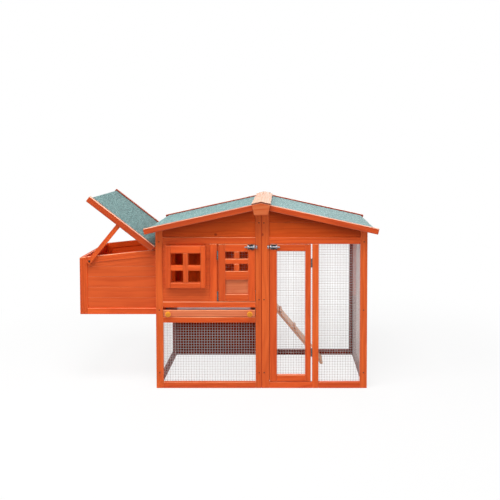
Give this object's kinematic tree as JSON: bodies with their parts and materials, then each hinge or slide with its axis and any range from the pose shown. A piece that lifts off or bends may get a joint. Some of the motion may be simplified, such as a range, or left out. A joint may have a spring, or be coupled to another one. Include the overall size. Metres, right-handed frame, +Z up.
{
  "type": "chicken coop",
  "caption": "Gable-roofed timber chicken coop with a raised house, wire run, ramp, pull-out tray, hinged doors with bolts and a side nest box with a propped lift-up lid.",
  "frame": {"origin": "middle of the footprint's bounding box, on the ground", "axes": "+X along the front from the nest box to the run, +Y to the back, +Z up"},
  "size_m": [1.698, 0.75, 1.0996],
  "materials": {
    "stained_frame": "orange stain",
    "stained_boards": "orange stain",
    "bare_wood": "pale fir",
    "knob_wood": "yellow varnish",
    "roof_felt": "green mineral felt",
    "galvanised_wire": "galvanised",
    "zinc_fittings": "zinc plated",
    "tray_metal": "galvanised",
    "dark_screws": "black phosphate"
  },
  "bodies": {
    "coop": {"house_front_posts": "stained_frame", "house_front_rails": "stained_frame", "house_mid_stile": "stained_frame", "house_gable_boards": "stained_boards", "window_panel": "stained_boards", "window_frame": "stained_frame", "under_house_mesh": "galvanised_wire", "house_back_posts": "stained_frame", "house_back_boards": "stained_boards", "back_rails": "stained_frame", "side_stiles": "stained_frame", "side_rails": "stained_frame", "house_side_boards": "stained_boards", "house_side_mesh": "galvanised_wire", "partition_rail": "stained_frame", "partition_boards": "stained_boards", "tray_runners": "stained_boards", "run_front_posts": "stained_frame", "run_front_rails": "stained_frame", "run_gable_boards": "stained_boards", "run_front_mesh": "galvanised_wire", "run_side_mesh": "galvanised_wire", "run_back_posts": "stained_frame", "run_back_mesh": "galvanised_wire", "roof_deck": "stained_boards", "roof_felt": "roof_felt", "barge_boards": "stained_frame", "ridge_cap": "bare_wood", "ridge_end_blocks": "stained_frame", "nest_posts": "stained_frame", "nest_rails": "stained_frame", "nest_boards": "stained_boards", "nest_floor": "stained_boards", "frame_screws": "dark_screws", "lid_hinge_wall": "zinc_fittings", "door_hinge_posts": "zinc_fittings", "bolt_keepers": "zinc_fittings", "prop_pin": "dark_screws", "ramp_hinge_wall": "zinc_fittings"},
    "lid": {"lid_deck": "stained_boards", "lid_felt": "roof_felt", "lid_rails": "stained_frame", "lid_hinge_leaf": "zinc_fittings"},
    "prop": {"lid_prop": "stained_frame"},
    "house_door": {"house_door_leaf": "stained_frame", "house_door_panel": "stained_boards", "house_door_mesh": "galvanised_wire", "house_door_fittings": "zinc_fittings"},
    "house_door_bolt": {"house_bolt": "zinc_fittings"},
    "run_door": {"run_door_stiles": "stained_frame", "run_door_rails": "stained_frame", "run_door_mesh": "galvanised_wire", "run_door_fittings": "zinc_fittings"},
    "run_door_bolt": {"run_bolt": "zinc_fittings"},
    "tray": {"tray_pan": "tray_metal", "tray_front": "stained_frame", "tray_knobs": "knob_wood"},
    "ramp": {"ramp_board": "bare_wood", "ramp_cleats": "bare_wood", "ramp_hinge_leaf": "zinc_fittings"}
  },
  "joints": [
    {"name": "nest_lid_hinge", "type": "hinge", "parent": "coop", "child": "lid", "pos_m": [-0.415, 0, 0.795], "axis": [0, 1, 0], "range_deg": [-44, 0]},
    {"name": "lid_prop_pivot", "type": "hinge", "parent": "coop", "child": "prop", "pos_m": [-0.789, -0.2748, 0.72617], "axis": [0, 1, 0], "range_deg": [0, 141]},
    {"name": "house_door_hinge", "type": "hinge", "parent": "coop", "child": "house_door", "pos_m": [-0.058, -0.3, 0.665], "axis": [0, 0, -1], "range_deg": [0, 110]},
    {"name": "house_bolt_slide", "type": "slide", "parent": "house_door", "child": "house_door_bolt", "axis": [1, 0, 0], "range_m": [0, 0.016]},
    {"name": "run_door_hinge", "type": "hinge", "parent": "coop", "child": "run_door", "pos_m": [0.475, -0.3, 0.432], "axis": [0, 0, 1], "range_deg": [0, 120]},
    {"name": "run_bolt_slide", "type": "slide", "parent": "run_door", "child": "run_door_bolt", "axis": [-1, 0, 0], "range_m": [0, 0.016]},
    {"name": "tray_slide", "type": "slide", "parent": "coop", "child": "tray", "axis": [0, -1, 0], "range_m": [0, 0.45]},
    {"name": "ramp_hinge", "type": "hinge", "parent": "coop", "child": "ramp", "pos_m": [0.197, 0.16, 0.432], "axis": [0, -1, 0], "range_deg": [0, 35]}
  ],
  "couplings": [
    {"joint": "lid_prop_pivot", "follows": "nest_lid_hinge", "ratio": -3.2}
  ]
}
